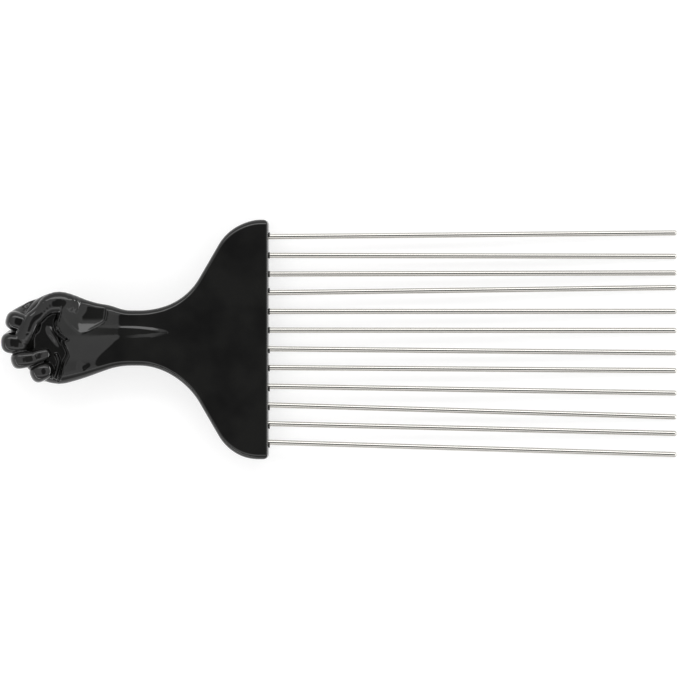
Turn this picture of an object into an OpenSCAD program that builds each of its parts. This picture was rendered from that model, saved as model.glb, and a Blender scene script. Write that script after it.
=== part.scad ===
/* [Handle] */
// Length of the moulding, from the end of the fist to the front edge of the head
handle_l = 69.4; // [60:0.1:80]
// Distance from the front edge back to the narrowest place of the neck
waist_x = 33.2; // [32:0.1:37]
// Width of the neck at its narrowest place
waist_w = 14.3; // [12:0.1:17]
// Thickness of the neck at its narrowest place
waist_t = 9; // [8:0.1:11]
// Length of the straight stretch of the neck between its two hollow sweeps
neck_l = 2.3; // [1:0.1:4]
// Radius of the rounded border that runs round the neck and the head
border_r = 1.2; // [0.8:0.1:1.6]

/* [Head] */
// Width of the head along its front edge
head_w = 62; // [58:0.5:68]
// Thickness of the head
head_t = 7; // [6:0.1:8]
// Length of the flat part of the head, back from the front edge
head_flat_l = 17; // [16:0.5:20]
// Radius of the round shoulders of the head
shoulder_r = 12.9; // [11:0.1:14]
// Radius of the hollow sweep from the neck out to the head
flare_r = 16.9; // [15:0.1:18]
// Distance from the front edge back to the start of the straight end of the shoulders
shoulder_x = 1.9; // [1:0.1:3]
// Distance from the front edge back to the mounting point on the flat back
seat_x = 9; // [6:0.5:12]

/* [Fist] */
// Length of the fist and the root of the hand
fist_l = 25; // [23:0.1:27]
// Width of the fist across its four fingers
fist_w = 23.7; // [21:0.1:26]
// Thickness of the fist, from the back of the hand to the top of the thumb
fist_t = 15; // [13:0.1:17]
// Thickness of a finger
finger_d = 6; // [5.4:0.1:6.6]
// Thickness of the thumb
thumb_d = 5; // [4.4:0.1:5.6]
// Radius of the hollow sweep from the neck out to the wrist
wrist_r = 20; // [17:0.5:24]
// Radius of the round edge where the hand is widest
palm_r = 9; // [7:0.5:10]
// Radius of the palm's rounded side edges
palm_edge_r = 2.8; // [2.2:0.1:3.4]

/* [Tines] */
// Diameter of the wire
tine_d = 1.45; // [1.2:0.05:1.8]
// Distance between neighbouring tines where they leave the head
tine_pitch = 4.84; // [4.5:0.02:5.2]
// Length of a tine outside the head
tine_out = 105.6; // [90:0.1:120]
// Length of a tine that is moulded into the head
tine_in = 9; // [7:0.5:10]
// Radius of the rounding at a tine's tip
tip_r = 0.5; // [0.3:0.05:0.6]
// Play between a tine and its hole
tine_gap = 0.01; // [0.005:0.005:0.03]

/* [Hidden] */

// Lean of each tine in degrees, as they stand after use; a positive one leans to +Y
tine_leans = [0.53, -0.14, 0.16, 0.73, 0.01, -0.05, -0.57, -0.44, -0.97, -1.69, -1.39, -1.73];
tine_count = len(tine_leans);

// The hand, as shares of fist_l from the fist's end, of half fist_w and of half fist_t.
// The last share is the half width of the finger there, of half finger_d or thumb_d.
index_shares = [
    [0.66, 0.60, -0.30, 0.80], [0.42, 0.66, -0.44, 0.85], [0.24, 0.52, -0.34, 0.86],
    [0.150, 0.385, 0.04, 0.84], [0.20, 0.345, 0.37, 0.82], [0.30, 0.29, 0.33, 0.78],
    [0.41, 0.21, 0.02, 0.66],
];
middle_shares = [
    [0.60, 0.16, -0.42, 0.86], [0.34, 0.14, -0.615, 0.94], [0.17, 0.00, -0.43, 0.92],
    [0.110, -0.09, 0.00, 0.90], [0.16, -0.115, 0.35, 0.90], [0.27, -0.12, 0.30, 0.84],
    [0.41, -0.09, 0.00, 0.68],
];
ring_shares = [
    [0.62, -0.20, -0.42, 0.84], [0.38, -0.27, -0.56, 0.90], [0.25, -0.40, -0.40, 0.88],
    [0.198, -0.47, 0.02, 0.80], [0.24, -0.472, 0.45, 0.75], [0.34, -0.44, 0.52, 0.67],
    [0.465, -0.345, 0.52, 0.54],
];
little_shares = [
    [0.66, -0.50, -0.36, 0.80], [0.52, -0.62, -0.46, 0.84], [0.44, -0.72, -0.30, 0.86],
    [0.405, -0.77, 0.06, 0.84], [0.43, -0.75, 0.42, 0.79], [0.48, -0.68, 0.46, 0.64],
];
thumb_shares = [
    [0.860, 0.541, 0.10, 1.10], [0.700, 0.684, 0.48, 1.20], [0.582, 0.740, 0.66, 1.20],
    [0.505, 0.725, 0.69, 1.05], [0.427, 0.570, 0.78, 0.80], [0.333, 0.389, 0.77, 0.82],
    [0.285, 0.198, 0.71, 0.82], [0.235, -0.02, 0.61, 0.92],
];

// The mass that the fingers close round, the web between their roots, and the mass behind
// the ring finger's tip, as shares like the fingers' own
core_shares = [
    [0.50, 0.60, -0.14, 1.05], [0.38, 0.28, -0.12, 1.20], [0.38, -0.25, -0.12, 1.20],
    [0.48, -0.58, -0.14, 1.10],
];
web_shares = [
    [0.27, 0.42, -0.08, 0.72], [0.20, 0.13, -0.08, 0.82], [0.25, -0.28, -0.08, 0.80],
    [0.42, -0.60, -0.08, 0.74],
];
pad_shares = [[0.27, -0.42, 0.08, 0.82], [0.36, -0.40, 0.14, 0.90], [0.47, -0.38, 0.20, 0.75]];

// The rise of the palm: the place where it starts on the thumb's side and on the other side,
// as shares of fist_l, the place and width of the change between them, as shares of half
// fist_w, and the rise as a share of the length
rise_shares = [1.244, 1.004, -0.33, 0.22, 0.18];
// The hollow at the root of the thumb: its middle and half size as shares of fist_l and of
// half fist_w, and its depth as a share of fist_t
facet_shares = [0.93, 0.46, 0.13, 0.30, 0.07];
// The edge of the palm over the hollow that the fingertips close into: places as shares of
// half fist_w and of fist_l
edge_shares = [
    [-1, 0.60], [-0.87, 0.63], [-0.68, 0.652], [-0.50, 0.678], [-0.40, 0.705],
    [-0.32, 0.713], [-0.22, 0.697], [-0.11, 0.674], [0, 0.655], [0.11, 0.63], [0.20, 0.607],
    [0.33, 0.597], [0.48, 0.62], [0.71, 0.65], [0.83, 0.676],
];
// Length of the fall of that edge as a share of fist_l
fall_share = 0.07;

finger_rings = 22;
finger_sides = 15;
dome_rings = 3;
dome_angle = 80;
head_rings = 24;
hand_rings = 26;
end_rings = 8;
end_angle = 80;
corner_steps = 4;
top_steps = 20;
back_steps = 6;
wire_sides = 24;
tip_sides = 32;

// Overrun of the cutting shapes
overrun = 1;
// Share of the border's rounding that the front edge has
front_share = 0.8;
// How flat the front of the thumb is and how deep its root, how flat the mass and the web
// inside the fist are, and how deep the root of the mass behind the ring finger's tip
thumb_flat_share = 0.65;
thumb_root_share = 2.6;
core_flat_share = 0.5;
web_flat_share = 0.9;
pad_root_share = 1.5;
// How square the fingers are in section, 1 being an oval
square_share = 0.8;
// The way that the front of the thumb faces
thumb_up = [-0.16, 0, 1];
// The palm's widest place, its width, the length of its rounded end, and how round its back is
palm_x_share = 0.59;
palm_w_share = 0.995;
palm_end_share = 0.42;
back_round_share = 0.8;
palm_x = handle_l - fist_l * palm_x_share;
neck_x = waist_x + neck_l;
palm_w = fist_w * palm_w_share;
palm_end_l = fist_l * palm_end_share;
// Height of the hollow of the palm, and depth of the back of the hand
hollow_share = 0.11;
back_share = 0.44;
hollow_z = fist_t * hollow_share;
back_z = fist_t * back_share;
// The sinew's point and length as shares of fist_l, its middle of fist_w, its half width of
// waist_w, and its height of waist_t
sinew_shares = [0.28, 0.5, 0.07, 0.12, 0.03];
sinew_x = waist_x - fist_l * sinew_shares[0];
sinew_l = fist_l * sinew_shares[1];
sinew_y = fist_w * sinew_shares[2];
sinew_w = waist_w * sinew_shares[3];
sinew_h = waist_t * sinew_shares[4];
// The middle of the hand, behind the front edge
fore_l = handle_l - fist_l / 2;

// Blend from a to b that starts and ends level
function ease(a, b, t) = a + (b - a) * min(max(t, 0), 1) ^ 2 * (3 - 2 * min(max(t, 0), 1));

function unit(v) = v / norm(v);

// Point at u on a smooth curve that passes through every point of p, u from 0 to len(p) - 1
function curve_point(p, u) =
    let (
        k = min(floor(u), len(p) - 2), t = u - k,
        a = p[max(k - 1, 0)], b = p[k], c = p[k + 1], d = p[min(k + 2, len(p) - 1)]
    )
    (2 * b + (c - a) * t + (2 * a - 5 * b + 4 * c - d) * t ^ 2
        + (3 * b - a - 3 * c + d) * t ^ 3) / 2;

// Solid skin over rings of points that all have the same count, flat at both ends. Each
// ring runs anticlockwise as it is seen from the ring that follows it.
module skin(rings) {
    n = len(rings[0]);
    m = len(rings);
    polyhedron(
        points = [for (r = rings) each r],
        faces = concat(
            [[for (k = [0:n - 1]) k]],
            [for (i = [0:m - 2], k = [0:n - 1])
                [i * n + k, (i + 1) * n + (k + 1) % n, i * n + (k + 1) % n]],
            [for (i = [0:m - 2], k = [0:n - 1])
                [i * n + k, (i + 1) * n + k, (i + 1) * n + (k + 1) % n]],
            [[for (k = [n - 1:-1:0]) (m - 1) * n + k]]
        )
    );
}

// Cosine or sine s of an angle, drawn out towards the corners of a square
function squared(s) = sign(s) * abs(s) ^ square_share;

// One ring of a finger: an oval square to the direction t, half width a, its front and its
// root as high and as deep as the shares flat and root of that
function oval(c, t, up, a, flat, root) =
    let (side = unit(cross(up, t)), top = cross(t, side))
    [for (k = [0:finger_sides - 1])
        let (f = 360 * k / finger_sides, rise = squared(sin(f)) * (sin(f) > 0 ? flat : root))
        c + side * a * squared(cos(f)) + top * a * rise];

// A finger or the thumb: an oval that follows a curve, with a dome at each end
module finger(shares, d, up = [0, 1, 0], flat = 1, root = 1) {
    p = [for (s = shares) [
        s[0] * fist_l - fist_l / 2, s[1] * fist_w / 2, s[2] * fist_t / 2, s[3] * d / 2
    ]];
    last = len(p) - 1;
    q = [for (i = [0:finger_rings]) curve_point(p, last * i / finger_rings)];
    c = [for (v = q) [v[0], v[1], v[2]]];
    t = [for (i = [0:finger_rings])
        unit(c[min(i + 1, finger_rings)] - c[max(i - 1, 0)])];
    skin(concat(
        [for (k = [dome_rings:-1:1]) let (f = dome_angle * k / dome_rings, r = q[0][3])
            oval(c[0] - t[0] * r * sin(f), t[0], up, r * cos(f), flat, root)],
        [for (i = [0:finger_rings]) oval(c[i], t[i], up, q[i][3], flat, root)],
        [for (k = [1:dome_rings]) let (f = dome_angle * k / dome_rings, r = q[finger_rings][3])
            oval(c[finger_rings] + t[finger_rings] * r * sin(f), t[finger_rings], up,
                r * cos(f), flat, root)]
    ));
}

// Half width between a hollow arc of radius r0 that is level at x = 0 with half width w0 and
// a round arc of radius r1 that is level at x = l with half width w1, with a straight between
function sweep_w(x, l, w0, r0, w1, r1) =
    let (
        dx = l, dy = w1 - r1 - w0 - r0, d = norm([dx, dy]),
        f = asin(min(1, (r0 + r1) / d)) + atan2(dy, dx),
        x0 = r0 * sin(f), y0 = w0 + r0 * (1 - cos(f)),
        x1 = l - r1 * sin(f), y1 = w1 - r1 * (1 - cos(f))
    )
    x <= 0 ? w0
    : x < x0 ? w0 + r0 - sqrt(r0 ^ 2 - x ^ 2)
    : x < x1 ? y0 + (y1 - y0) * (x - x0) / (x1 - x0)
    : x < l ? w1 - r1 + sqrt(r1 ^ 2 - (l - x) ^ 2)
    : w1;

// Place along a stretch from x0 to x1, 0 at its start and 1 at its end
function along(x, x0, x1) = (x - x0) / (x1 - x0);

// Half width of the body of the moulding, x being the distance behind the front edge
function body_w(x) =
    x < waist_x
    ? sweep_w(waist_x - x, waist_x - shoulder_x, waist_w / 2, flare_r, head_w / 2, shoulder_r)
    : sweep_w(x - neck_x, palm_x - neck_x, waist_w / 2, wrist_r, palm_w / 2, palm_r);

// Height of the front and of the back of the body above and below its middle plane
function body_top(x) =
    ease(head_t, waist_t, along(x, head_flat_l, waist_x)) / 2;
function body_back(x) =
    x < waist_x ? ease(head_t, waist_t, along(x, head_flat_l, waist_x)) / 2
    : ease(waist_t / 2, back_z, along(x, waist_x, palm_x));

// A smooth rise from 0 at distance 1 or more to 1 at distance 0
function swell(d) = max(0, 1 - d ^ 2) ^ 2;

// Height of the front face at a place x behind the front edge and y across
function front_z(x, y) =
    let (
        u = (handle_l - x) / fist_l, v = y / (fist_w / 2), r = rise_shares, h = facet_shares,
        start = handle_l - fist_l * ease(r[1], r[0], (v - r[2]) / r[3]),
        dip = h[4] * fist_t * swell(norm([(u - h[0]) / h[2], (v - h[1]) / h[3]])),
        palm = body_top(x) + r[4] * max(0, x - start) + sinew_z(x, y) - dip
    )
    ease(palm, hollow_z, (lookup(v, edge_shares) - u) / fall_share + 1 / 2);

// Rise of the sinew that runs from the wrist and dies out on the neck
function sinew_z(x, y) =
    let (t = along(x, sinew_x, sinew_x + sinew_l))
    t <= 0 ? 0 : sinew_h * swell((y - sinew_y) / (sinew_w * min(1, t)));

// One ring across the body at x: half width w, heights top and back of its middle plane, its
// edges rounded by front_r in front, and behind by a across and b up and down, all of them
// sized by the share c
function body_ring(x, w, top, back, front_r, a, b, c = 1) =
    let (
        flat = w - front_r, back_flat = w - a, relief = x > border_r,
        z1 = relief ? c * front_z(x, flat / c) : top,
        z2 = relief ? c * front_z(x, -flat / c) : top
    )
    [
        for (k = [0:top_steps]) let (y = flat * (2 * k / top_steps - 1))
            [fore_l - x, y, relief ? c * front_z(x, y / c) : top],
        for (k = [1:corner_steps]) let (f = 90 * k / corner_steps)
            [fore_l - x, flat + front_r * sin(f), z1 - front_r + front_r * cos(f)],
        for (k = [0:corner_steps - 1]) let (f = 90 * k / corner_steps)
            [fore_l - x, back_flat + a * cos(f), -back + b - b * sin(f)],
        for (k = [0:back_steps]) [fore_l - x, back_flat * (1 - 2 * k / back_steps), -back],
        for (k = [1:corner_steps]) let (f = 90 * k / corner_steps)
            [fore_l - x, -back_flat - a * sin(f), -back + b - b * cos(f)],
        for (k = [0:corner_steps - 1]) let (f = 90 * k / corner_steps)
            [fore_l - x, -flat - front_r * cos(f), z2 - front_r + front_r * sin(f)],
    ];

// A size of the rounded edges at x: border_r on the plate, and r on the hand
function edge_size(x, r) = ease(border_r, r, along(x, waist_x, palm_x));

// The ring at x of the plate or the hand, drawn in by the share c
function hand_ring(x, c = 1) =
    let (w = body_w(min(x, palm_x)), back = body_back(min(x, palm_x)))
    body_ring(x, w * c, hollow_z * c, back * c, edge_size(x, palm_edge_r) * c,
        edge_size(x, w * back_round_share) * c, edge_size(x, back * back_round_share) * c, c);

// Head, neck, wrist and palm in one skin
module body() {
    skin([
        for (k = [corner_steps:-1:0])
            let (
                f = 90 * k / corner_steps, inset = border_r * (1 - cos(f)) * front_share,
                r = border_r - inset
            )
            body_ring(border_r * (1 - sin(f)), body_w(border_r) - inset,
                head_t / 2 - inset, head_t / 2 - inset, r, r, r),
        for (k = [1:head_rings]) hand_ring(border_r + (waist_x - border_r) * k / head_rings),
        for (k = [1:hand_rings]) hand_ring(waist_x + (palm_x - waist_x) * k / hand_rings),
        for (k = [1:end_rings]) let (f = end_angle * k / end_rings)
            hand_ring(palm_x + palm_end_l * sin(f), cos(f)),
    ]);
}

// The whole moulding before it is bored, round the middle of the hand
module blank() {
    body();
    finger(index_shares, finger_d);
    finger(middle_shares, finger_d);
    finger(ring_shares, finger_d);
    finger(little_shares, finger_d);
    finger(thumb_shares, thumb_d, unit(thumb_up), thumb_flat_share, thumb_root_share);
    finger(core_shares, finger_d, [0, 0, 1], core_flat_share);
    finger(web_shares, finger_d, [0, 0, 1], web_flat_share);
    finger(pad_shares, finger_d, [0, 0, 1], 1, pad_root_share);
}

// Puts its children at the root of tine i, on the front edge, with the tine's lean
module at_root(i) {
    translate([seat_x, ((tine_count - 1) / 2 - i) * tine_pitch, head_t / 2])
        rotate([0, 90, 0])
        rotate([-tine_leans[i], 0, 0])
        children();
}

module handle() {
    color("#1d1d1b")
        difference() {
            translate([seat_x - fore_l, 0, head_t / 2])
                resize([handle_l, 0, 0])
                blank();
            for (i = [0:tine_count - 1])
                at_root(i)
                    translate([0, 0, -tine_in])
                    cylinder(r = tine_d / 2 + tine_gap, h = tine_in + overrun,
                        $fn = wire_sides);
        }
}

// Tine number n, counted from the +Y side
module tine(n) {
    color("#c9c8c4")
        at_root(n - 1)
        rotate_extrude($fn = wire_sides)
        difference() {
            translate([0, -tine_in])
                square([tine_d / 2, tine_in + tine_out]);
            translate([tine_d / 2 - tip_r, tine_out - tip_r])
                difference() {
                    square([tip_r + overrun, tip_r + overrun]);
                    circle(r = tip_r, $fn = tip_sides);
                }
        }
}

handle();
tine(1);  // tine_01
tine(2);  // tine_02
tine(3);  // tine_03
tine(4);  // tine_04
tine(5);  // tine_05
tine(6);  // tine_06
tine(7);  // tine_07
tine(8);  // tine_08
tine(9);  // tine_09
tine(10);  // tine_10
tine(11);  // tine_11
tine(12);  // tine_12
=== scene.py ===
# %% [markdown]
# A pick comb, dressed over its frame
# The comb is a black moulding in the form of a raised fist on a flat flared head, with twelve
# straight wires in it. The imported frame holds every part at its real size. This lesson adds what
# the eye looks for: a smooth moulded hand, gloss that mirrors a light tent, and drawn wire.

# %% Load the frame
import math

import bpy
import numpy as np
import openvdb
from mathutils import Matrix, Vector


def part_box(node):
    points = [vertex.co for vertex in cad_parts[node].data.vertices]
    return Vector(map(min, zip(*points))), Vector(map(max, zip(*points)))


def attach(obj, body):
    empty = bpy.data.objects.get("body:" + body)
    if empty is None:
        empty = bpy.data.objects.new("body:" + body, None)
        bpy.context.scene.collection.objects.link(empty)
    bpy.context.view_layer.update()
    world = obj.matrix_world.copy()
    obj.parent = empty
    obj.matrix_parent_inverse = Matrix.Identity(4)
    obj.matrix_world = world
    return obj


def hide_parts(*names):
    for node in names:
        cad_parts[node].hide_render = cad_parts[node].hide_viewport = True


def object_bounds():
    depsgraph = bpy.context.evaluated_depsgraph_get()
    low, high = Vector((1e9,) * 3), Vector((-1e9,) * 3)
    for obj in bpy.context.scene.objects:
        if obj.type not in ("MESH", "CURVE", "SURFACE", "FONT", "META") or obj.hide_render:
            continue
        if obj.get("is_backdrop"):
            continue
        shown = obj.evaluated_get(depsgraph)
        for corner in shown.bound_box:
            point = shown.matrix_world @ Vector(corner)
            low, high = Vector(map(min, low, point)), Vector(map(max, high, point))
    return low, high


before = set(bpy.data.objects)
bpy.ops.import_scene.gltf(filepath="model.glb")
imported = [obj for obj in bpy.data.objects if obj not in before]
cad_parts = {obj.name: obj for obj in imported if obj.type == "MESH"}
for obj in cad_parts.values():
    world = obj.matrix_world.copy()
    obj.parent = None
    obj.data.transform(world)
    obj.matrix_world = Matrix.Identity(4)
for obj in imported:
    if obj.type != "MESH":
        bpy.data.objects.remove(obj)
cad_low, cad_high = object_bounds()
MM = 0.001
print("frame loaded:", len(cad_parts), "parts")

# %% [markdown]
# The sizes of the moulding
# A maker works from a few sizes on the drawing. The overall ones come from the frame, so that the
# moulding can't drift away from it. The rest are real sizes in millimetres, read off the object.
# Places along the moulding, such as WAIST_X, are counted back from its front edge, where the wires
# come out. Its face looks up and its back lies on the table. Its top side is the thumb's and its
# low side the other, as the photograph shows them. Heights start half way up the flat head.

# %% Read and set the sizes
handle_low, handle_high = (np.array(corner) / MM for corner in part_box("handle"))
FRONT_X = handle_high[0]
HANDLE_L = FRONT_X - handle_low[0]
HEAD_W = handle_high[1] - handle_low[1]
HEAD_T, HEAD_FLAT_L = 7.0, 17.0  # the head keeps its thickness over this length
MIDDLE_Z = HEAD_T / 2
WAIST_X, WAIST_W, WAIST_T = 33.65, 14.3, 9.0  # the narrowest place of the neck
FIST_L, FIST_W, FIST_T = 25.0, 23.7, 15.0
print("moulding:", [round(float(v), 2) for v in (HANDLE_L, HEAD_W, FRONT_X)], "mm")

# %% [markdown]
# Camera
# The photograph looks straight down on the comb, with no perspective to be seen. A camera without
# any perspective could show that, but a long lens far away is what a photographer would use. The
# frame is square, and the comb nearly fills its width.

# %% Set the camera
VIEW_W = 176.05 * MM
VIEW_CENTRE = Vector((27.43 * MM, -0.13 * MM, MIDDLE_Z * MM))
LENS_MM, SENSOR_MM = 300, 36
camera_data = bpy.data.cameras.new("camera")
camera_data.lens = LENS_MM
camera_data.sensor_width = SENSOR_MM
camera = bpy.data.objects.new("camera", camera_data)
bpy.context.scene.collection.objects.link(camera)
camera.location = VIEW_CENTRE + Vector((0, 0, VIEW_W * LENS_MM / SENSOR_MM))
bpy.context.scene.camera = camera
bpy.context.scene.view_settings.view_transform = "Standard"
print("camera height:", round(camera.location.z, 3), "m")

# %% [markdown]
# Helpers for materials
# Colours are picked as sRGB hex values, as in any paint program, and turned to the linear numbers
# that the renderer wants. One function adds a node with its settings and its links. A socket is
# named by its label, or by an underscore and its number where several share a label.

# %% Colour and node helpers
def linear(hex_colour):
    """An sRGB colour such as "1a1a18" as linear red, green, blue and alpha."""
    channels = [int(hex_colour[i : i + 2], 16) / 255 for i in (0, 2, 4)]
    return [c / 12.92 if c <= 0.04045 else ((c + 0.055) / 1.055) ** 2.4 for c in channels] + [1]


def add_node(tree, kind, settings=None, **sockets):
    """Add a node. A socket's value is a number or colour, or another node's output to link."""
    node = tree.nodes.new(kind)
    for key, value in (settings or {}).items():
        setattr(node, key, value)
    for key, value in sockets.items():
        socket = node.inputs[int(key[1:])] if key[0] == "_" else node.inputs[key.replace("_", " ")]
        if isinstance(value, bpy.types.NodeSocket):
            tree.links.new(value, socket)
        else:
            socket.default_value = value
    return node


def new_material(name):
    """A material with its node tree and its main shader."""
    material = bpy.data.materials.new(name)
    material.use_nodes = True
    return material, material.node_tree, material.node_tree.nodes["Principled BSDF"]


print("middle grey:", [round(c, 3) for c in linear("808080")])

# %% [markdown]
# Light tent: the walls
# Glossy black shows nothing but what surrounds it, so the surroundings are the picture. A white
# tent explains what this comb mirrors. Lamps and cards could stand round the comb as objects, but
# a world shader paints the same tent without them, and it is there from every side. Its walls are
# a little darker near the table than high up.

# %% Make the walls of the tent
WALL_HIGH_LIGHT, WALL_LOW_LIGHT = 1.02, 0.75
WALL_HIGH_Z, WALL_LOW_Z = 0.9, 0.2  # where they have these lights: 1 is overhead, 0 is level
world = bpy.data.worlds.new("light_tent")
bpy.context.scene.world = world
world.use_nodes = True
sky = world.node_tree
direction = add_node(sky, "ShaderNodeTexCoord").outputs["Generated"]
height = add_node(sky, "ShaderNodeSeparateXYZ", Vector=direction).outputs["Z"]
brightness = add_node(
    sky, "ShaderNodeMapRange", Value=height,
    From_Min=WALL_HIGH_Z, From_Max=WALL_LOW_Z, To_Min=WALL_HIGH_LIGHT, To_Max=WALL_LOW_LIGHT,
).outputs[0]
print("tent walls:", WALL_HIGH_LIGHT, "high up,", WALL_LOW_LIGHT, "low down")

# %% [markdown]
# Light tent: slot, lamps and curtain
# The flat head mirrors the dark slot overhead that the lens looks through. Sloping faces mirror a
# lamp strip along each long side, a dark curtain on the low side, and two low lamps, one past the
# fist and one past the tips of the wires. Each is an oval panel with a soft edge, which is the
# cheapest shape to paint: a centre direction, and how far the panel reaches across and up.

# %% Paint the panels
PANEL_EDGE = 0.2  # how soft the edge is, as a share of the reach
BEHIND = 0.01  # stands for every direction that points away from the panel
# heading and angle from overhead of the centre, half reach across and up, in degrees, and light
PANELS = {
    "slot": (90, 0, 16.5, 27, 0.17),
    "curtain": (270, 70, 60, 15, 0.45),
    "strip": (90, 41, 42, 8, 3.5),
    "low_strip": (270, 38, 50, 6, 1.7),
    "lamp": (225, 75, 40, 3, 6.0),
    "side_lamp": (358, 75, 36, 4, 9.0),
}


def inside_panel(heading, from_overhead, across, up):
    """1 for directions inside the panel and 0 outside it."""
    turn = Matrix.Rotation(math.radians(heading), 3, "Z")
    turn = turn @ Matrix.Rotation(math.radians(from_overhead), 3, "Y")
    dot = {"operation": "DOT_PRODUCT"}
    facing = add_node(sky, "ShaderNodeVectorMath", dot, _0=direction, _1=turn.col[2])
    ahead = add_node(
        sky, "ShaderNodeMath", {"operation": "MAXIMUM"}, _0=facing.outputs["Value"], _1=BEHIND
    )
    offsets = []
    for axis, reach in ((turn.col[1], across), (turn.col[0], up)):
        scaled = axis / math.tan(math.radians(reach))
        offset = add_node(sky, "ShaderNodeVectorMath", dot, _0=direction, _1=scaled)
        share = add_node(
            sky, "ShaderNodeMath", {"operation": "DIVIDE"},
            _0=offset.outputs["Value"], _1=ahead.outputs[0],
        )
        offsets.append(share.outputs[0])
    place = add_node(sky, "ShaderNodeCombineXYZ", X=offsets[0], Y=offsets[1])
    radius = add_node(sky, "ShaderNodeVectorMath", {"operation": "LENGTH"}, _0=place.outputs[0])
    return add_node(
        sky, "ShaderNodeMapRange", {"interpolation_type": "SMOOTHSTEP"},
        Value=radius.outputs["Value"], From_Min=1 + PANEL_EDGE, From_Max=1 - PANEL_EDGE,
    ).outputs[0]


for *place_and_reach, light in PANELS.values():
    inside = inside_panel(*place_and_reach)
    brightness = add_node(
        sky, "ShaderNodeMix", {"data_type": "FLOAT"}, _0=inside, _2=brightness, _3=light
    ).outputs[0]
print("tent panels:", ", ".join(PANELS))

# %% [markdown]
# Light tent: a white background
# The photograph's background is pure white, whatever the tent looks like. A brighter tent would
# do it, but would change what the comb mirrors. So rays that come straight from the camera see
# plain white, and all other rays see the tent.

# %% Show the tent to everything but the camera
ray = add_node(sky, "ShaderNodeLightPath")
seen = add_node(
    sky, "ShaderNodeMix", {"data_type": "FLOAT"},
    _0=ray.outputs["Is Camera Ray"], _2=brightness, _3=1.0,
)
sky.links.new(seen.outputs[0], sky.nodes["Background"].inputs["Strength"])
sky.nodes["Background"].inputs["Color"].default_value = (1, 1, 1, 1)
print("world:", len(sky.nodes), "nodes")

# %% [markdown]
# Table
# The comb lies on a table, on the back of the fist and the tips of the wires. It could be turned
# to lie like that on a level table, but it keeps the frame's own place, so the table is the one
# that leans: it passes through the lowest point of the fist and the lowest point of the tips.

# %% Make the table
TABLE_W = 3.0  # metres
TIP_L = 2.0  # millimetres of a wire's end that can touch the table
corners = np.vstack([[v.co for v in node.data.vertices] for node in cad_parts.values()])
fist_points = corners[corners[:, 0] < (FRONT_X - HANDLE_L + FIST_L) * MM]
tip_points = corners[corners[:, 0] > cad_high[0] - TIP_L * MM]
fist_foot, tip_foot = (group[np.argmin(group[:, 2])] for group in (fist_points, tip_points))
lean = math.atan2(tip_foot[2] - fist_foot[2], tip_foot[0] - fist_foot[0])
half = TABLE_W / 2
mesh = bpy.data.meshes.new("table")
mesh.from_pydata(
    [(-half, -half, 0), (half, -half, 0), (half, half, 0), (-half, half, 0)], [], [(0, 1, 2, 3)]
)
table = bpy.data.objects.new("table", mesh)
bpy.context.scene.collection.objects.link(table)
table.location = Vector(fist_foot)
table.rotation_euler = (0, -lean, 0)
table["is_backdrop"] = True
print("table leans", round(math.degrees(lean), 2), "degrees")

# %% [markdown]
# Matt white card
# The table top is matt white card, which scatters light and mirrors nothing: it is rough, with no
# specular. Its own colour is a grey, which keeps the comb's shadow soft. Seen by the camera and by
# gloss, a glow lifts it to pure white where nothing shades it. Brighter lamps could do that too,
# but they would bleach the comb.

# %% Make the card
CARD_GLOW = 0.68
material, tree, shader = new_material("matt_white_card")
shader.inputs["Base Color"].default_value = linear("a8a8a8")
shader.inputs["Roughness"].default_value = 0.9
shader.inputs["Specular IOR Level"].default_value = 0.0
ray = add_node(tree, "ShaderNodeLightPath")
looked = add_node(
    tree, "ShaderNodeMath", {"operation": "MAXIMUM"},
    _0=ray.outputs["Is Camera Ray"], _1=ray.outputs["Is Glossy Ray"],
)
glow = add_node(
    tree, "ShaderNodeMath", {"operation": "MULTIPLY"}, _0=looked.outputs[0], _1=CARD_GLOW
)
light = add_node(tree, "ShaderNodeEmission", Color=(1, 1, 1, 1), Strength=glow.outputs[0])
both = add_node(tree, "ShaderNodeAddShader", _0=shader.outputs[0], _1=light.outputs[0])
tree.links.new(both.outputs[0], tree.nodes["Material Output"].inputs["Surface"])
table.data.materials.append(material)
print("card glows", CARD_GLOW)

# %% [markdown]
# A moulded form as a distance field
# A moulded hand is many round forms that melt into one skin. It could be drawn with polygons and a
# subdivision surface, but that needs care at every join. A distance field needs none: one function
# says how far a point is from each form, in millimetres, the smallest distance wins, and a soft
# minimum leaves the small fillet that every mould has. Blender's volume library then turns the
# zero surface into a mesh.

# %% Soft minimum and easing
def ease(a, b, t):
    """Blend from a to b that starts and ends level."""
    t = np.clip(t, 0, 1)
    return a + (b - a) * t * t * (3 - 2 * t)


def soft_min(a, b, fillet):
    """The smaller of a and b, with a fillet of about that radius where they cross."""
    near = np.maximum(fillet - np.abs(a - b), 0) / fillet
    return np.minimum(a, b) - near * near * fillet / 4


def soft_max(a, b, fillet):
    """The larger of a and b, with such a fillet."""
    return -soft_min(-a, -b, fillet)


print("where two forms meet, a fillet of 1 mm adds", -soft_min(0, 0, 1), "mm")

# %% [markdown]
# Outline
# Seen from above, each side of the moulding is two pairs of arcs with a straight between: a hollow
# sweep from the neck that ends in a round shoulder, towards the head and again towards the palm. A
# curve through traced points would wobble. Arcs give the even curves of the toolmaker's drawing.

# %% Half width of the moulding
SHOULDER_X, SHOULDER_R, FLARE_R = 2.1, 12.67, 18.1
WRIST_X, WRIST_R, PALM_R = 35.5, 20.0, 9.0
PALM_X = HANDLE_L - 0.59 * FIST_L
PALM_W = 0.995 * FIST_W
PALM_END_L = 0.42 * FIST_L
PALM_END_LEAST = 0.04  # keeps the rounded end of the palm from coming to a point


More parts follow.
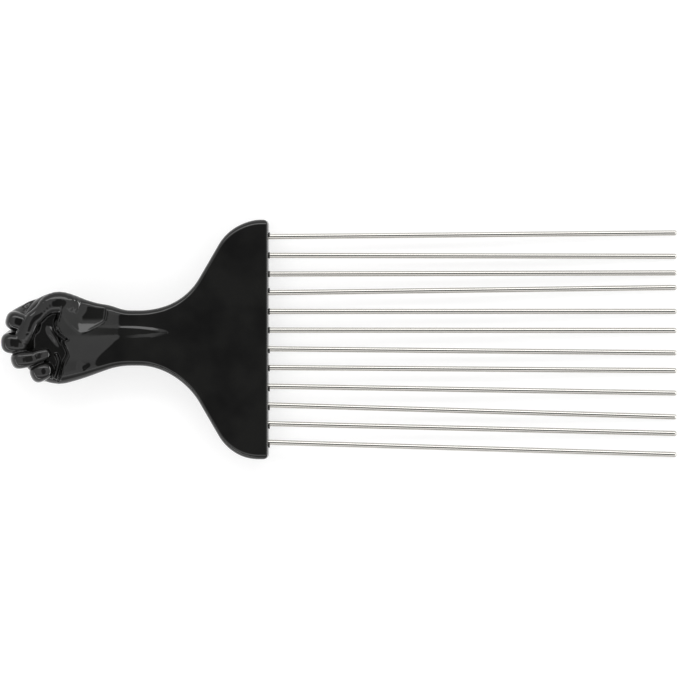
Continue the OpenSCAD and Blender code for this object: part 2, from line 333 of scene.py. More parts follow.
def sweep_w(x, length, w0, r0, w1, r1):
    """Half width: a hollow arc of radius r0, level at w0, a straight, and a round arc to w1."""
    rise = w1 - r1 - w0 - r0
    tilt = math.asin(min(1, (r0 + r1) / math.hypot(length, rise))) + math.atan2(rise, length)
    x0, y0 = r0 * math.sin(tilt), w0 + r0 * (1 - math.cos(tilt))
    x1, y1 = length - r1 * math.sin(tilt), w1 - r1 * (1 - math.cos(tilt))
    hollow = w0 + r0 - np.sqrt(np.maximum(r0**2 - x**2, 0))
    crown = w1 - r1 + np.sqrt(np.maximum(r1**2 - (length - x) ** 2, 0))
    straight = y0 + (y1 - y0) * (x - x0) / (x1 - x0)
    return np.select([x <= 0, x < x0, x < x1, x < length], [w0, hollow, straight, crown], w1)


def outline_w(x):
    """Half width at x millimetres behind the front edge."""
    head = sweep_w(
        WAIST_X - x, WAIST_X - SHOULDER_X, WAIST_W / 2, FLARE_R, HEAD_W / 2, SHOULDER_R
    )
    hand = sweep_w(x - WRIST_X, PALM_X - WRIST_X, WAIST_W / 2, WRIST_R, PALM_W / 2, PALM_R)
    past = np.maximum(x - PALM_X, 0) / PALM_END_L
    end = np.sqrt(np.clip(1 - past**2, PALM_END_LEAST, 1))
    return np.where(x < WAIST_X, head, hand * end)


print("half width at 20 mm:", round(float(outline_w(np.array([20.0]))[0]), 2), "mm")

# %% [markdown]
# Unevenness of the outline
# The pattern for such a mould is carved by hand, and it isn't quite even. The head lies a hair to
# the low side and the hand to the top side, the wrist is fuller on the top side and the palm on
# the low one. Bending the arcs to fit would spoil them, so small smooth shifts are added to them.

# %% Middle line and swells
HEAD_Y, HEAD_SHIFT_X, HEAD_SHIFT_L = -0.17, 2.0, 6.0
HAND_Y, HAND_SHIFT_X, HAND_SHIFT_L = 0.38, 19.0, 14.0
# height, place and reach of the wrist's swell on the top side and of the palm's on the low side
WRIST_SWELL, PALM_SWELL = (0.5, 40.8, 2.6), (0.3, 48.5, 5.0)


def spine_y(x):
    """Where the outline's middle line runs."""
    head = ease(0, HEAD_Y, (x - HEAD_SHIFT_X) / HEAD_SHIFT_L)
    return head + ease(0, HAND_Y - HEAD_Y, (x - HAND_SHIFT_X) / HAND_SHIFT_L)


def swell(x, rise, middle, reach):
    """A smooth rise of the outline."""
    return rise * np.exp(-(((x - middle) / reach) ** 2))


print("middle line shifts from", HEAD_Y, "to", HAND_Y, "mm")

# %% [markdown]
# The face: plate and ramp
# The head and neck are a flat plate that thickens a little towards the wrist. From the wrist the
# face climbs at a steady slope to the palm, and on the low side the slope starts later. The face
# is written as a height at each place, because no part of it overhangs, and because each form that
# follows can then simply be added to it or cut from it.

# %% Height of the plate and the ramp
RAMP_SLOPE, RAMP_R = 0.18, 0.5
# where the ramp starts on the top side and on the low side, and where across the neck that changes
RAMP_X, RAMP_LOW_X, RAMP_BREAK_Y, RAMP_BREAK_W = 38.3, 44.3, -6.2, 8.0


def plate_z(x):
    """Half thickness of the flat head and the neck."""
    return ease(HEAD_T, WAIST_T, (x - HEAD_FLAT_L) / (WAIST_X - HEAD_FLAT_L)) / 2


def ramp_z(x, y):
    """How far the face has climbed from the wrist towards the palm."""
    start = ease(RAMP_LOW_X, RAMP_X, (y - RAMP_BREAK_Y) / RAMP_BREAK_W)
    return RAMP_SLOPE * soft_max(x - start, 0, RAMP_R)


print("the ramp climbs", RAMP_SLOPE, "mm in each mm")

# %% [markdown]
# Sinew
# A sinew runs from the palm out on the neck. It has a flat top a third of a millimetre high, a
# steep flank on the top side and a gentle one on the low side, and it narrows and dies out on the
# neck. A round tube would give it a rounded top, so it is a height with two flanks that is added
# to the face. From here on, places on the hand are shares of the fist's length, counted from its
# end, and of its half width, so that the hand keeps its proportions if its size changes.

# %% Height of the sinew
# share along the hand and share across it, for points on the sinew's middle line
SINEW_SHARES = [(1.0, 0.147), (1.23, 0.150), (1.44, 0.160), (1.70, 0.142), (1.80, 0.132)]
SINEW_W, SINEW_H, SINEW_TOP_FLANK, SINEW_LOW_FLANK = 1.95, 0.34, 0.78, 1.3
# in fist lengths, where it ends on the neck and how long it tapers, and how blunt the taper is
SINEW_END, SINEW_TAPER_L, SINEW_BLUNTNESS = 1.80, 0.6, 0.38
# in fist lengths, where it has sunk into the neck and where it starts to rise out of the palm
SINEW_SINK_END, SINEW_SINK_L, SINEW_RISE_START, SINEW_RISE_L = 1.82, 0.3, 0.80, 0.7


def hand_shares(x, y):
    """A place on the hand as shares of the fist's length and half width."""
    return (HANDLE_L - x) / FIST_L, (y - HAND_Y) / (FIST_W / 2)


def sinew_z(u, y):
    """How far the sinew stands above the face, at share u along the hand."""
    middle = np.interp(u, *zip(*SINEW_SHARES)) * FIST_W / 2
    half_w = SINEW_W * np.clip((SINEW_END - u) / SINEW_TAPER_L, 0, 1) ** SINEW_BLUNTNESS
    flank = np.where(y > middle, SINEW_TOP_FLANK, SINEW_LOW_FLANK)
    fade = ease(0, 1, (SINEW_SINK_END - u) / SINEW_SINK_L)
    fade = fade * ease(0, 1, (u - SINEW_RISE_START) / SINEW_RISE_L)
    return SINEW_H * fade * np.clip((half_w - np.abs(y - middle)) / flank, 0, 1)


print("the waist of the neck is", round(hand_shares(WAIST_X, 0)[0], 2), "fist lengths from the end")
print("sinew:", SINEW_H, "mm high,", 2 * SINEW_W, "mm wide at its foot")

# %% [markdown]
# Pocket at the root of the thumb
# A three-cornered pocket lies between the thumb's root and the sinew. Its two crisp flat faces
# mirror a dark wedge beside a light one. So it is cut with planes, not pressed with a ball: a
# nearly level floor, a second floor that climbs from a bend towards the sinew, and a wall on each
# side. Where the pocket is lower than the palm, it is the skin.

# %% Height of the pocket
# share along the hand and share across it of the corners
POCKET_SHARES = [(0.828, 0.65), (1.079, 0.57), (1.066, 0.372), (0.834, 0.066)]
# the level floor, the floor that climbs from the bend, and the walls towards what they are named for
POCKET_Z, POCKET_TILT = 4.4, 0.085
POCKET_SLOPE, POCKET_BEND_Y, POCKET_BEND_R = 0.37, 5.0, 2.2
POCKET_THUMB_SLOPE, POCKET_THUMB_R = 0.37, 1.2
POCKET_NECK_SLOPE, POCKET_SINEW_SLOPE = 1.2, 1.5
POCKET_PALM_SLOPE, POCKET_PALM_R = 0.43, 0.6
POCKET_RIM_R = 0.12


def side_of(u, v, a, b):
    """Distance in millimetres to the line from a to b, both in shares, positive to its left."""
    run = np.array([(b[0] - a[0]) * FIST_L, (b[1] - a[1]) * FIST_W / 2])
    dx, dy = (u - a[0]) * FIST_L, (v - a[1]) * FIST_W / 2
    return (run[0] * dy - run[1] * dx) / math.hypot(*run)


def pocket_z(u, v, y):
    """Height of the pocket's floors, and of walls that climb out of the palm on all sides."""
    sides = zip(POCKET_SHARES, POCKET_SHARES[1:])
    past_thumb, past_neck, past_sinew = (side_of(u, v, a, b) for a, b in sides)
    past_palm = (POCKET_SHARES[0][0] - u) * FIST_L
    below_bend = POCKET_BEND_Y - (y - HAND_Y)
    z = POCKET_Z + POCKET_TILT * (POCKET_SHARES[1][0] - u) * FIST_L
    z = z + POCKET_SLOPE * soft_max(below_bend, 0, POCKET_BEND_R)
    z = z + POCKET_THUMB_SLOPE * soft_max(past_thumb, 0, POCKET_THUMB_R)
    z = z + POCKET_NECK_SLOPE * np.maximum(past_neck, 0)
    z = z + POCKET_SINEW_SLOPE * np.maximum(past_sinew, 0)
    return z + POCKET_PALM_SLOPE * soft_max(past_palm, 0, POCKET_PALM_R)


pocket_l = (POCKET_SHARES[1][0] - POCKET_SHARES[0][0]) * FIST_L
print("pocket:", round(pocket_l, 1), "mm long")

# %% [markdown]
# Hollow on the heel of the hand
# The heel of the hand has a short shallow hollow, turned across the hand. It shows as a dark patch
# in the gloss. A ridge was tried here and caught the light from the wrong side. The hollow is cut
# in the same way as the pocket, in its own turned directions.

# %% Height of the heel's hollow
HEEL_SHARE, HEEL_TURN = (0.89, -0.615), 24
HEEL_Z, HEEL_HALF_L, HEEL_HALF_W = 4.86, 1.2, 0.2
HEEL_TOP_SLOPE, HEEL_TOP_R = 0.3, 0.5
HEEL_LOW_SLOPE, HEEL_LOW_R = 0.37, 0.4
HEEL_END_SLOPE, HEEL_END_R = 0.45, 0.5
HEEL_RIM_R = 0.1


def heel_z(u, v):
    """Height of the hollow's narrow floor, with gentle walls."""
    cos, sin = math.cos(math.radians(HEEL_TURN)), math.sin(math.radians(HEEL_TURN))
    dx, dy = (u - HEEL_SHARE[0]) * FIST_L, (v - HEEL_SHARE[1]) * FIST_W / 2
    along, up = dx * cos + dy * sin, dy * cos - dx * sin
    z = HEEL_Z + HEEL_TOP_SLOPE * soft_max(up - HEEL_HALF_W, 0, HEEL_TOP_R)
    z = z + HEEL_LOW_SLOPE * soft_max(-up - HEEL_HALF_W, 0, HEEL_LOW_R)
    return z + HEEL_END_SLOPE * soft_max(np.abs(along) - HEEL_HALF_L, 0, HEEL_END_R)


print("heel's hollow:", 2 * HEEL_HALF_L, "mm long at its floor")

# %% [markdown]
# Edge of the palm
# The palm ends at an edge over the hollow that the fingertips close into. The edge winds across
# the hand, with one small beak where the skin folds. Cutting the hollow out with a tool would
# leave a hard corner. So a smooth curve through a few points draws the edge, and the face drops
# steeply past it to the hollow's floor, with a small round.

# %% Height of the whole face
# share across the hand and share along it, for points on the edge
EDGE_SHARES = [
    (-1.0, 0.60), (-0.873, 0.632), (-0.678, 0.652), (-0.504, 0.678), (-0.40, 0.705),
    (-0.32, 0.713), (-0.22, 0.697), (-0.11, 0.674), (-0.065, 0.676), (-0.03, 0.712),
    (0.02, 0.682), (0.107, 0.63), (0.20, 0.607), (0.33, 0.5965), (0.479, 0.62), (0.706, 0.65),
    (0.833, 0.676),
]
EDGE_STEPS, EDGE_STEEPNESS, EDGE_R = 400, 4.5, 0.5
HOLLOW_Z, HOLLOW_SLOPE, HOLLOW_SLOPE_L = 2.5, 0.02, 5


def smooth_path(rows, steps):
    """Points on a smooth curve through all rows of numbers."""
    rows = np.array(rows, float)
    k = np.linspace(0, len(rows) - 1, steps + 1)
    i = np.minimum(k.astype(int), len(rows) - 2)
    t = (k - i)[:, None]
    a, b, c, d = (rows[np.clip(i + j, 0, len(rows) - 1)] for j in (-1, 0, 1, 2))
    cubic = 3 * b - a - 3 * c + d
    return (2 * b + (c - a) * t + (2 * a - 5 * b + 4 * c - d) * t**2 + cubic * t**3) / 2


EDGE_CURVE = smooth_path(EDGE_SHARES, EDGE_STEPS).T


def face_z(x, y):
    """Height of the face over the middle plane, x behind the front edge."""
    u, v = hand_shares(x, y)
    palm = plate_z(x) + ramp_z(x, y)
    palm = palm + sinew_z(u, y)
    palm = soft_min(palm, pocket_z(u, v, y), POCKET_RIM_R)
    palm = soft_min(palm, heel_z(u, v), HEEL_RIM_R)
    past_edge = (np.interp(v, *EDGE_CURVE) - u) * FIST_L
    wall = palm - EDGE_STEEPNESS * np.maximum(past_edge, 0)
    floor = HOLLOW_Z - HOLLOW_SLOPE * np.clip(past_edge, 0, HOLLOW_SLOPE_L)
    return soft_max(wall, floor, EDGE_R)


print("palm's edge:", len(EDGE_SHARES), "points drawn with", EDGE_STEPS, "steps")

# %% [markdown]
# Body of the moulding
# Head, neck, wrist and palm are one form: an outline with a height for its face, a depth for its
# back, and rounded edges. A loft through cross sections could give it too, but the distance field
# wants a level at each point, and that comes straight from the outline and the heights. The
# rounding is the small border on the plate and grows to the full roundness of a hand. The front
# edge is crisp and has a little draft, so that the moulding comes out of its tool.

# %% Level of the body
BORDER_R, FRONT_EDGE_R, FRONT_CORNER_R, FRONT_DRAFT = 1.6, 0.35, 1.6, 0.10
BACK_SHARE, BACK_ROUND, PALM_ROUND_R, PALM_END_R = 0.44, 0.8, 2.8, 3.0
BOX_GAP = 0.03  # how far the sides stay inside the frame's box


def body_back(x):
    """Depth of the back below the middle plane."""
    hand = ease(WAIST_T / 2, FIST_T * BACK_SHARE, (x - WAIST_X) / (PALM_X - WAIST_X))
    return np.where(x < WAIST_X, plate_z(x), hand)


def rounded(across, height, reach, rise):
    """Level 0 on two faces that meet in an elliptic corner of that reach and rise."""
    p, q = across / reach + 1, height / rise + 1
    corner = np.hypot(np.maximum(p, 0), np.maximum(q, 0))
    inside = np.minimum(np.maximum(p, q), 0)
    return (corner + inside - 1) * np.minimum(reach, rise)


def body_level(p):
    """A number that is 0 on the body's skin and grows outwards."""
    x, y, z = FRONT_X - p[:, 0], p[:, 1], p[:, 2] - MIDDLE_Z
    face, back, half_w = face_z(x, y), body_back(x), outline_w(x)
    handness = ease(0, 1, (x - WAIST_X) / (PALM_X - WAIST_X))
    round_face = BORDER_R + (PALM_ROUND_R - BORDER_R) * handness
    reach_back = BORDER_R + (half_w * BACK_ROUND - BORDER_R) * handness
    rise_back = BORDER_R + (back * BACK_ROUND - BORDER_R) * handness
    fuller = np.where(y > 0, swell(x, *WRIST_SWELL), swell(x, *PALM_SWELL))
    across = np.abs(y - spine_y(x)) - half_w - fuller
    level = np.maximum(
        rounded(across, z - face, round_face, round_face),
        rounded(across, -z - back, reach_back, rise_back),
    )
    ahead = FRONT_DRAFT * np.abs(z) - x
    edge = np.maximum(
        rounded(ahead, z - face, FRONT_EDGE_R, FRONT_EDGE_R),
        rounded(ahead, -z - back, FRONT_EDGE_R, FRONT_EDGE_R),
    )
    edge = np.maximum(edge, soft_max(across, ahead, FRONT_CORNER_R))
    level = np.where(x < 2 * FRONT_CORNER_R, np.maximum(level, edge), level)
    level = np.maximum(level, np.abs(y) - HEAD_W / 2 + BOX_GAP)
    return soft_max(level, x - PALM_X - PALM_END_L, PALM_END_R)


print("body's back:", round(float(body_back(PALM_X)), 2), "mm deep under the palm")

# %% [markdown]
# From level to distance
# A level says where the skin is, but not how far away a point is, and fillets need true distances.
# Near the skin, the level divided by how fast it grows is a distance.

# %% Distance to the body
BODY_STEP, LEAST_SLOPE = 0.05, 0.3


def slope_of(field, p, level, step):
    """How fast a field grows along each direction, from points where it has that level."""
    return np.stack([(field(p + e) - level) / step for e in np.eye(3) * step], 1)


def body(p):
    """Distance to the body, near its skin."""
    level = body_level(p)
    slope = slope_of(body_level, p, level, BODY_STEP)
    return level / np.maximum(np.sqrt((slope**2).sum(1)), LEAST_SLOPE)


above = np.array([[FRONT_X - HEAD_FLAT_L / 2, 0.0, HEAD_T + 0.5]])
print("half a millimetre above the head, the body is", round(float(body(above)[0]), 3), "mm away")

# %% [markdown]
# Fingers
# Each finger curls over the knuckle, round the end of the fist and into the palm. It is a tube
# that follows a smooth curve through a few points and changes its thickness on the way. Modelling
# joints and bending them would take a rig. A curve through places read off the object needs none.
# The numbers are shares: place along the fist, place across it, height over the middle plane, and
# half thickness.

# %% Paths of the fingers
FINGER_D, PATH_STEPS = 6.0, 28
FINGER_SHARES = {
    "index": [
        (0.66, 0.60, -0.30, 0.80), (0.50, 0.655, -0.42, 0.84), (0.34, 0.595, -0.42, 0.84),
        (0.22, 0.475, -0.22, 0.82), (0.152, 0.385, 0.04, 0.82), (0.155, 0.375, 0.34, 0.82),
        (0.175, 0.36, 0.38, 0.82), (0.25, 0.315, 0.385, 0.80), (0.30, 0.29, 0.36, 0.78),
        (0.36, 0.25, 0.05, 0.70), (0.41, 0.21, -0.25, 0.62),
    ],
    "middle": [
        (0.60, 0.16, -0.40, 0.86), (0.34, 0.14, -0.58, 0.94), (0.17, 0.00, -0.42, 0.92),
        (0.113, -0.09, -0.02, 0.90), (0.114, -0.10, 0.32, 0.90), (0.13, -0.108, 0.36, 0.90),
        (0.19, -0.12, 0.35, 0.89), (0.25, -0.12, 0.20, 0.84), (0.32, -0.11, -0.08, 0.74),
        (0.39, -0.09, -0.28, 0.64),
    ],
    "ring": [
        (0.62, -0.20, -0.42, 0.84), (0.38, -0.27, -0.56, 0.90), (0.25, -0.40, -0.40, 0.88),
        (0.20, -0.47, 0.02, 0.78), (0.205, -0.472, 0.40, 0.76), (0.235, -0.472, 0.49, 0.73),
        (0.32, -0.45, 0.53, 0.67), (0.36, -0.425, 0.50, 0.63), (0.41, -0.385, 0.53, 0.60),
        (0.465, -0.345, 0.52, 0.52),
    ],
    "little": [
        (0.66, -0.54, -0.36, 0.82), (0.52, -0.645, -0.46, 0.86), (0.44, -0.71, -0.30, 0.84),
        (0.405, -0.755, 0.06, 0.82), (0.405, -0.755, 0.36, 0.80), (0.425, -0.74, 0.44, 0.78),
        (0.46, -0.715, 0.48, 0.71), (0.48, -0.68, 0.46, 0.62),
    ],
}
FACE_RUN_START = 5 / 8  # where on its path a finger starts to run along the face


def from_shares(rows, thickness):
    """Rows of shares as a smooth path of x, y, z and radius in millimetres."""
    u, v, w, r = np.array(rows).T
    x, y = FRONT_X - HANDLE_L + u * FIST_L, v * FIST_W / 2 + HAND_Y
    places = [x, y, MIDDLE_Z + w * FIST_T / 2, r * thickness / 2]
    return smooth_path(np.stack(places, 1), PATH_STEPS)


def side_axis(path):
    """The level direction square to a finger's run along the face."""
    run = path[-1] - path[int(len(path) * FACE_RUN_START)]
    return np.array([-run[1], run[0], 0]) / math.hypot(run[0], run[1])


FINGERS = {name: from_shares(rows, FINGER_D) for name, rows in FINGER_SHARES.items()}
for name, path in FINGERS.items():
    length = np.linalg.norm(np.diff(path[:, :3], axis=0), axis=1).sum()
    print(name, "finger:", round(float(length), 1), "mm along its path")

# %% [markdown]
# Thumb
# The thumb lies across the first two fingers and grows out of the ball of the palm. It could be a
# form of its own, but a tube does for it too, one that is flatter on top than it is wide, reaches
# deep down to the fingers and leans a little over them.

# %% Path of the thumb
THUMB_D, THUMB_FLATNESS, THUMB_DEPTH = 5.0, 0.72, 2.0
THUMB_AXIS = np.array([-0.16, 0.0, 0.987])
THUMB_SHARES = [
    (0.93, 0.50, -0.05, 0.80), (0.82, 0.61, 0.37, 0.88), (0.70, 0.735, 0.635, 1.08),
    (0.60, 0.765, 0.68, 1.16), (0.508, 0.722, 0.69, 1.02), (0.43, 0.575, 0.68, 0.80),
    (0.385, 0.485, 0.655, 0.82), (0.333, 0.389, 0.65, 0.82), (0.290, 0.198, 0.63, 0.80),
    (0.247, 0.035, 0.53, 0.93), (0.217, -0.100, 0.48, 0.78),
]
THUMB_PATH = from_shares(THUMB_SHARES, THUMB_D)
print("thumb:", round(float(THUMB_PATH[:, 3].max() * 2), 1), "mm wide at the widest")

# %% [markdown]
# Fills in the fist
# Deep gaps between the fingers would hold the moulding fast in its tool, so it has none. A core
# fills the middle of the fist, a web joins the fingers low down, and a shelf backs the index
# finger. A small ridge and a fold cross the hollow of the hand. Boxes and planes could fill the
# fist, but low or deep tubes need no second function, and they leave no corners.

# %% Paths of the fills
UP = np.array([0.0, 0.0, 1.0])
RIDGE_AXIS = np.array([-0.32, 0.0, 0.947])
FILL_SHARES = {
    "core": [
        (0.50, 0.60, -0.20, 1.05), (0.38, 0.28, -0.24, 1.20), (0.38, -0.25, -0.24, 1.20),
        (0.48, -0.58, -0.2, 1.10),
    ],
    "web": [
        (0.27, 0.42, -0.05, 0.70), (0.195, 0.13, -0.05, 0.80), (0.25, -0.28, -0.05, 0.74),
        (0.42, -0.60, -0.05, 0.70),
    ],
    "ridge": [
        (0.485, 0.25, 0.24, 0.24), (0.515, 0.15, 0.26, 0.34), (0.567, 0.0, 0.26, 0.36),
        (0.623, -0.24, 0.22, 0.26),
    ],
    "fold": [
        (0.578, -0.36, 0.36, 0.12), (0.604, -0.52, 0.37, 0.13), (0.584, -0.69, 0.36, 0.13),
        (0.557, -0.85, 0.30, 0.12),
    ],
    "shelf": [(0.50, 0.70, -0.14, 0.74), (0.34, 0.635, -0.12, 0.76), (0.25, 0.53, -0.12, 0.72)],
}
# direction of each section's height, and how high and how deep it is beside its half width
FILL_SECTIONS = {
    "core": (UP, 0.45, 1),
    "web": (UP, 1, 1),
    "ridge": (RIDGE_AXIS, 0.8, 5),
    "fold": (UP, 1, 6),
    "shelf": (UP, 0.35, 1),
}
FILLS = {name: from_shares(rows, FINGER_D) for name, rows in FILL_SHARES.items()}
print("fills:", ", ".join(FILLS))

# %% [markdown]
# Distance to a tube
# A tube is a chain of short cones, and the distance to it is the smallest distance to any of them.
# Fingers are a little square in section, and a power above 2 in the sum of squares does that.
# Points far from the tube get one large distance, which saves most of the work.

# %% Tubes with a rounded square section
FAR, TUBE_MARGIN = 5.0, 2
FINGER_SQUARENESS, THUMB_SQUARENESS = 2.5, 2.1


def tube(p, path, axis, flat=1.0, root=1.0, power=FINGER_SQUARENESS):
    """Distance to a tube, flat times as high along the axis and root times as deep against it."""
    centre, radius = path[:, :3], path[:, 3]
    reach = radius.max() + TUBE_MARGIN
    near = np.all((p > centre.min(0) - reach) & (p < centre.max(0) + reach), axis=1)
    q = p[near]
    best = np.full(len(q), FAR)
    for a, b, ra, rb in zip(centre, centre[1:], radius, radius[1:]):
        run = b - a
        offset = q - a
        t = np.clip(offset @ run / (run @ run), 0, 1)
        rest = offset - t[:, None] * run
        along = rest @ axis
        wide = np.sqrt(np.maximum((rest**2).sum(1) - along**2, 0))
        along = np.where(along > 0, along / flat, -along / root)
        gap = (along**power + wide**power) ** (1 / power) - ra - t * (rb - ra)
        best = np.minimum(best, gap)
    out = np.full(len(p), FAR)
    out[near] = best
    return out


over_thumb = THUMB_PATH[len(THUMB_PATH) // 2, :3] + THUMB_AXIS * 2
thumb_gap = tube(over_thumb[None], THUMB_PATH, THUMB_AXIS, THUMB_FLATNESS, THUMB_DEPTH)
print("2 mm over the thumb's middle line, its skin is", round(float(thumb_gap[0]), 2), "mm away")

# %% [markdown]
# Creases of the thumb
# Two fine creases run beside the tip of the thumb, where skin folds. Tubes could be cut from the
# fist for them, but they are too shallow to need a form. They are cut into the finished distance:
# a little is added along each line, and it fades and narrows to one end.

# %% Cut the creases
# both ends of each crease in shares, its depth and half width, and how much of it fades out
CREASE_SHARES = [
    (0.26, 0.115, 0.32, 0.10, 0.16, 0.25, 1),
    (0.20, 0.10, 0.24, 0.085, 0.12, 0.22, 1),
]
CREASE_NARROWING = 0.6
CREASE_FULL_Z = 2  # they fade from this height down to the middle plane


def creases(p):
    """How far the creases cut into the face."""
    u, v = hand_shares(FRONT_X - p[:, 0], p[:, 1])
    cut = np.zeros(len(p))
    for u0, v0, u1, v1, depth, half_w, fade in CREASE_SHARES:
        run = np.array([(u1 - u0) * FIST_L, (v1 - v0) * FIST_W / 2])
        dx, dy = (u - u0) * FIST_L, (v - v0) * FIST_W / 2
        t = np.clip((dx * run[0] + dy * run[1]) / (run @ run), 0, 1)
        gap = np.hypot(dx - t * run[0], dy - t * run[1])
        narrow = half_w * (1 - CREASE_NARROWING * fade * t)
        cut = cut + depth * (1 - fade * t) * np.exp(-((gap / narrow) ** 2))
    return cut * ease(0, 1, (p[:, 2] - MIDDLE_Z) / CREASE_FULL_Z)


print("creases:", len(CREASE_SHARES))

# %% [markdown]
# The whole hand
# The fingers join each other with a small fillet, as a mould leaves. They melt further into the
# back of the hand, where skin runs over the knuckles. The thumb grows out of the palm, so its
# fillet is wide at the root and small at the tip. Booleans would need a bevel at each of these
# joins, while the soft minimum joins and rounds at once.

# %% Distance to the moulding
FINGER_R, FILL_R, KNUCKLE_R, KNUCKLE_DEPTH = 0.28, 0.3, 1.6, 4
THUMB_ROOT_R, THUMB_ROOT_START, THUMB_ROOT_L = 1.3, 0.62, 0.25
HAND_END = 1.3  # where the hand has ended, in the fist's lengths from its end


def moulding(p):
    """Distance from points to the skin of the moulding, in millimetres, near the skin."""
    skin = body(p)
    hand = p[:, 0] < FRONT_X - HANDLE_L + HAND_END * FIST_L
    q = p[hand]
    fist = np.full(len(q), FAR)
    for path in FINGERS.values():
        fist = soft_min(fist, tube(q, path, side_axis(path)), FINGER_R)
    for name, path in FILLS.items():
        fist = soft_min(fist, tube(q, path, *FILL_SECTIONS[name]), FILL_R)
    depth = q[:, 2] - MIDDLE_Z
    knuckle_r = ease(KNUCKLE_R, FINGER_R, (depth + KNUCKLE_DEPTH) / KNUCKLE_DEPTH)
    fist = soft_min(skin[hand], fist, knuckle_r)
    along, _ = hand_shares(FRONT_X - q[:, 0], q[:, 1])
    thumb = tube(q, THUMB_PATH, THUMB_AXIS, THUMB_FLATNESS, THUMB_DEPTH, THUMB_SQUARENESS)
    root_r = ease(FINGER_R, THUMB_ROOT_R, (along - THUMB_ROOT_START) / THUMB_ROOT_L)
    skin[hand] = soft_min(fist, thumb, root_r) + creases(q)
    return skin


middle_of_head = np.array([[FRONT_X - HEAD_FLAT_L / 2, 0.0, MIDDLE_Z]])
print("the middle of the head is", round(-float(moulding(middle_of_head)[0]), 2), "mm deep")

# %% [markdown]
# From field to mesh The field is measured on a lattice and handed to the volume library, which
# draws the zero surface. A single lattice point outside, with all its neighbours inside, would
# leave a bubble in the plastic, so it is closed. The mesh's points sit near the surface but not on
# it. Gloss would show that as ripples, and smoothing would blunt the crisp edges, so each point
# slides along the field's slope until its distance is zero. A few dozen points can't settle, where
# the box round a tube cuts off its distance, and the last print counts them.

# %% Draw the skin of the moulding
CELL = 0.268
SLIDES, SLIDE_STEP, LEAST_SLOPE_SQUARED = 3, 0.02, 0.2
SETTLED = 0.001
margin = 3 * CELL
low, high = handle_low - margin, handle_high + margin
axes = [np.arange(a, b + CELL, CELL) for a, b in zip(low, high)]
lattice = np.stack(np.meshgrid(*axes, indexing="ij"), -1).reshape(-1, 3)
field = moulding(lattice).reshape([len(a) for a in axes]).astype(np.float32)
shifts = [(step, axis) for step in (-1, 1) for axis in (0, 1, 2)]
around = np.maximum.reduce([np.roll(field, step, axis) for step, axis in shifts])
field = np.where((field > 0) & (around < 0), around, field)
grid = openvdb.FloatGrid(1.0)
grid.copyFromArray(field)
skin_points, _, skin_quads = grid.convertToPolygons(isovalue=0.0, adaptivity=0.0)
skin_points = np.array(skin_points, float) * CELL + low
for _ in range(SLIDES):
    gap = moulding(skin_points)
    slope = slope_of(moulding, skin_points, gap, SLIDE_STEP)
    move = gap[:, None] * slope / np.maximum((slope**2).sum(1), LEAST_SLOPE_SQUARED)[:, None]
    skin_points -= np.clip(move, -CELL / 2, CELL / 2)
left = np.abs(moulding(skin_points))
off = int((left > SETTLED).sum())
print("skin:", len(skin_points), "points,", off, "of them off by more than", SETTLED, "mm")
print("the worst is off by", round(float(left.max()), 3), "mm")

# %% [markdown]
# Collars round the wires
# Where each wire leaves the plastic, the melt crept a little along it and left a low collar. A
# lathed ring could be joined to the skin, but a fifth of a millimetre needs no blend: rings of
# points round the wire's own middle line, banded together and capped, rise straight out of it.

# %% Turn the collars
# how far out of the plastic each ring stands, and its radius, in millimetres
COLLAR_PROFILE = [(-1.5, 0.86), (0.10, 0.86), (0.17, 0.84), (0.20, 0.79), (0.20, 0.60)]
COLLAR_TURNS = 24
WIRE_END = 0.01  # points this near to a wire's end belong to its end face
here = np.arange(COLLAR_TURNS)
after = (here + 1) % COLLAR_TURNS
angles = here * 2 * math.pi / COLLAR_TURNS
circle = np.stack([np.zeros(COLLAR_TURNS), np.cos(angles), np.sin(angles)], 1)
wires = [node for name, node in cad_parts.items() if name.startswith("tine")]
shells, bands, caps = [skin_points], [skin_quads], []
count = len(skin_points)
for wire in wires:
    points = np.array([v.co for v in wire.data.vertices]) / MM
    ends = points[:, 0].min(), points[:, 0].max()
    root, tip = (points[np.abs(points[:, 0] - end) < WIRE_END].mean(0) for end in ends)
    mouth = root + (tip - root) * (FRONT_X - root[0]) / (tip[0] - root[0])
    shells += [mouth + (x, 0, 0) + r * circle for x, r in COLLAR_PROFILE]
    starts = count + COLLAR_TURNS * np.arange(len(COLLAR_PROFILE))
    for a, b in zip(starts, starts[1:]):
        bands.append(np.stack([a + here, a + after, b + after, b + here], 1))
    caps += [(starts[0] + here[::-1]).tolist(), (starts[-1] + here).tolist()]
    count += len(COLLAR_PROFILE) * COLLAR_TURNS
print("collars:", len(wires), "with", COLLAR_TURNS, "points round each ring")

# %% [markdown]
# One moulding
# Skin and collars are one piece of plastic. They could be two objects, but then they would be two
# pieces, so they become one mesh. It rides on the comb's only body, and it stands in for the plain
# handle of the frame.

# %% Join the moulding
mesh = bpy.data.meshes.new("moulded_fist_handle")
mesh.from_pydata((np.vstack(shells) * MM).tolist(), [], np.vstack(bands).tolist() + caps)
mesh.validate()
mesh.update()
mesh.shade_smooth()
handle = bpy.data.objects.new("moulded_fist_handle", mesh)
bpy.context.scene.collection.objects.link(handle)
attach(handle, "root")
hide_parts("handle")
print("moulding:", len(mesh.polygons), "faces")

# %% [markdown]
# Gloss black plastic
# The handle is polystyrene or ABS, moulded in a polished tool. To the eye it has almost no colour
# of its own, a clear mirror of about 4 in 100, which an IOR of 1.5 gives, and two faint marks of
# moulding: a cloudiness some 9 mm across, and a soft unevenness where the plastic shrank. The
# cloudiness could be painted as an image, but noise of that size needs none and has no seams.

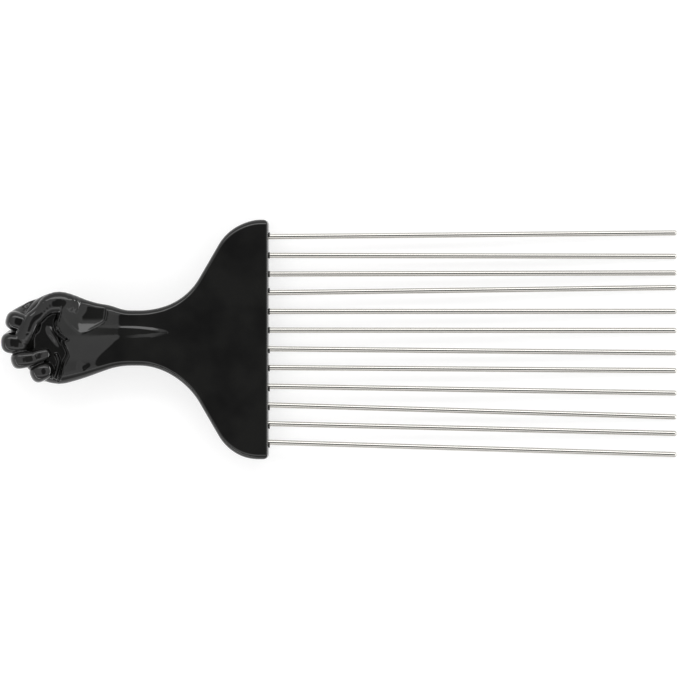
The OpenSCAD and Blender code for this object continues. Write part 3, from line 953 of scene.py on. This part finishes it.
# %% Make the plastic
CLOUD_MM, SHRINK_MM, SHRINK_DEPTH_MM = 9, 4, 0.1
material, tree, shader = new_material("gloss_black_moulded_plastic")
shader.inputs["Roughness"].default_value = 0.05
shader.inputs["IOR"].default_value = 1.5
coords = add_node(tree, "ShaderNodeTexCoord").outputs["Object"]
cloud = add_node(tree, "ShaderNodeTexNoise", Vector=coords, Scale=1 / (CLOUD_MM * MM), Detail=2.0)
share = add_node(
    tree, "ShaderNodeMapRange", Value=cloud.outputs["Fac"], From_Min=0.35, From_Max=0.65
)
haze = add_node(
    tree, "ShaderNodeMix", {"data_type": "RGBA"},
    _0=share.outputs[0], _6=linear("060606"), _7=linear("131312"),
)
tree.links.new(haze.outputs[2], shader.inputs["Base Color"])
shrink = add_node(
    tree, "ShaderNodeTexNoise", Vector=coords, Scale=1 / (SHRINK_MM * MM), Detail=1.0
)
bump = add_node(
    tree, "ShaderNodeBump",
    Height=shrink.outputs["Fac"], Strength=0.05, Distance=SHRINK_DEPTH_MM * MM,
)
tree.links.new(bump.outputs["Normal"], shader.inputs["Normal"])
handle.data.materials.append(material)
print("plastic:", material.name)

# %% [markdown]
# Drawn steel wire
# The tines are steel wire, drawn through a die and nickel plated. Plating keeps it bright, and
# drawing leaves fine lines along it that stretch each highlight round the wire. Real lines are
# about 0.02 mm apart, too fine to show, so they are drawn 0.12 mm apart. A noise that is squeezed
# across the wire and long along it gives them without a mark on the mesh.

# %% Make the wire finish
LINE_MM, LINE_DEPTH_MM, LINE_STRETCH = 0.12, 0.02, 0.005
material, tree, shader = new_material("plated_drawn_steel_wire")
shader.inputs["Base Color"].default_value = linear("d0cec9")
shader.inputs["Metallic"].default_value = 1.0
shader.inputs["Roughness"].default_value = 0.08
coords = add_node(tree, "ShaderNodeTexCoord").outputs["Object"]
drawn = add_node(tree, "ShaderNodeMapping", Vector=coords, Scale=(LINE_STRETCH, 1, 1))
lines = add_node(
    tree, "ShaderNodeTexNoise", Vector=drawn.outputs[0], Scale=1 / (LINE_MM * MM), Detail=2.0
)
bump = add_node(
    tree, "ShaderNodeBump",
    Height=lines.outputs["Fac"], Strength=0.012, Distance=LINE_DEPTH_MM * MM,
)
tree.links.new(bump.outputs["Normal"], shader.inputs["Normal"])
for wire in wires:
    wire.data.materials.clear()
    wire.data.materials.append(material)
print("wires:", material.name)

# %% [markdown]
# Size of the dressed comb
# The dressed comb has to stay inside the frame's box, so the sizes of both boxes are printed.

# %% Print the sizes
boxes = {"cad": [list(c) for c in (cad_low, cad_high)], "visual": [list(c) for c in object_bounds()]}
for name, (low_corner, high_corner) in boxes.items():
    print(name, [round((b - a) / MM, 2) for a, b in zip(low_corner, high_corner)])
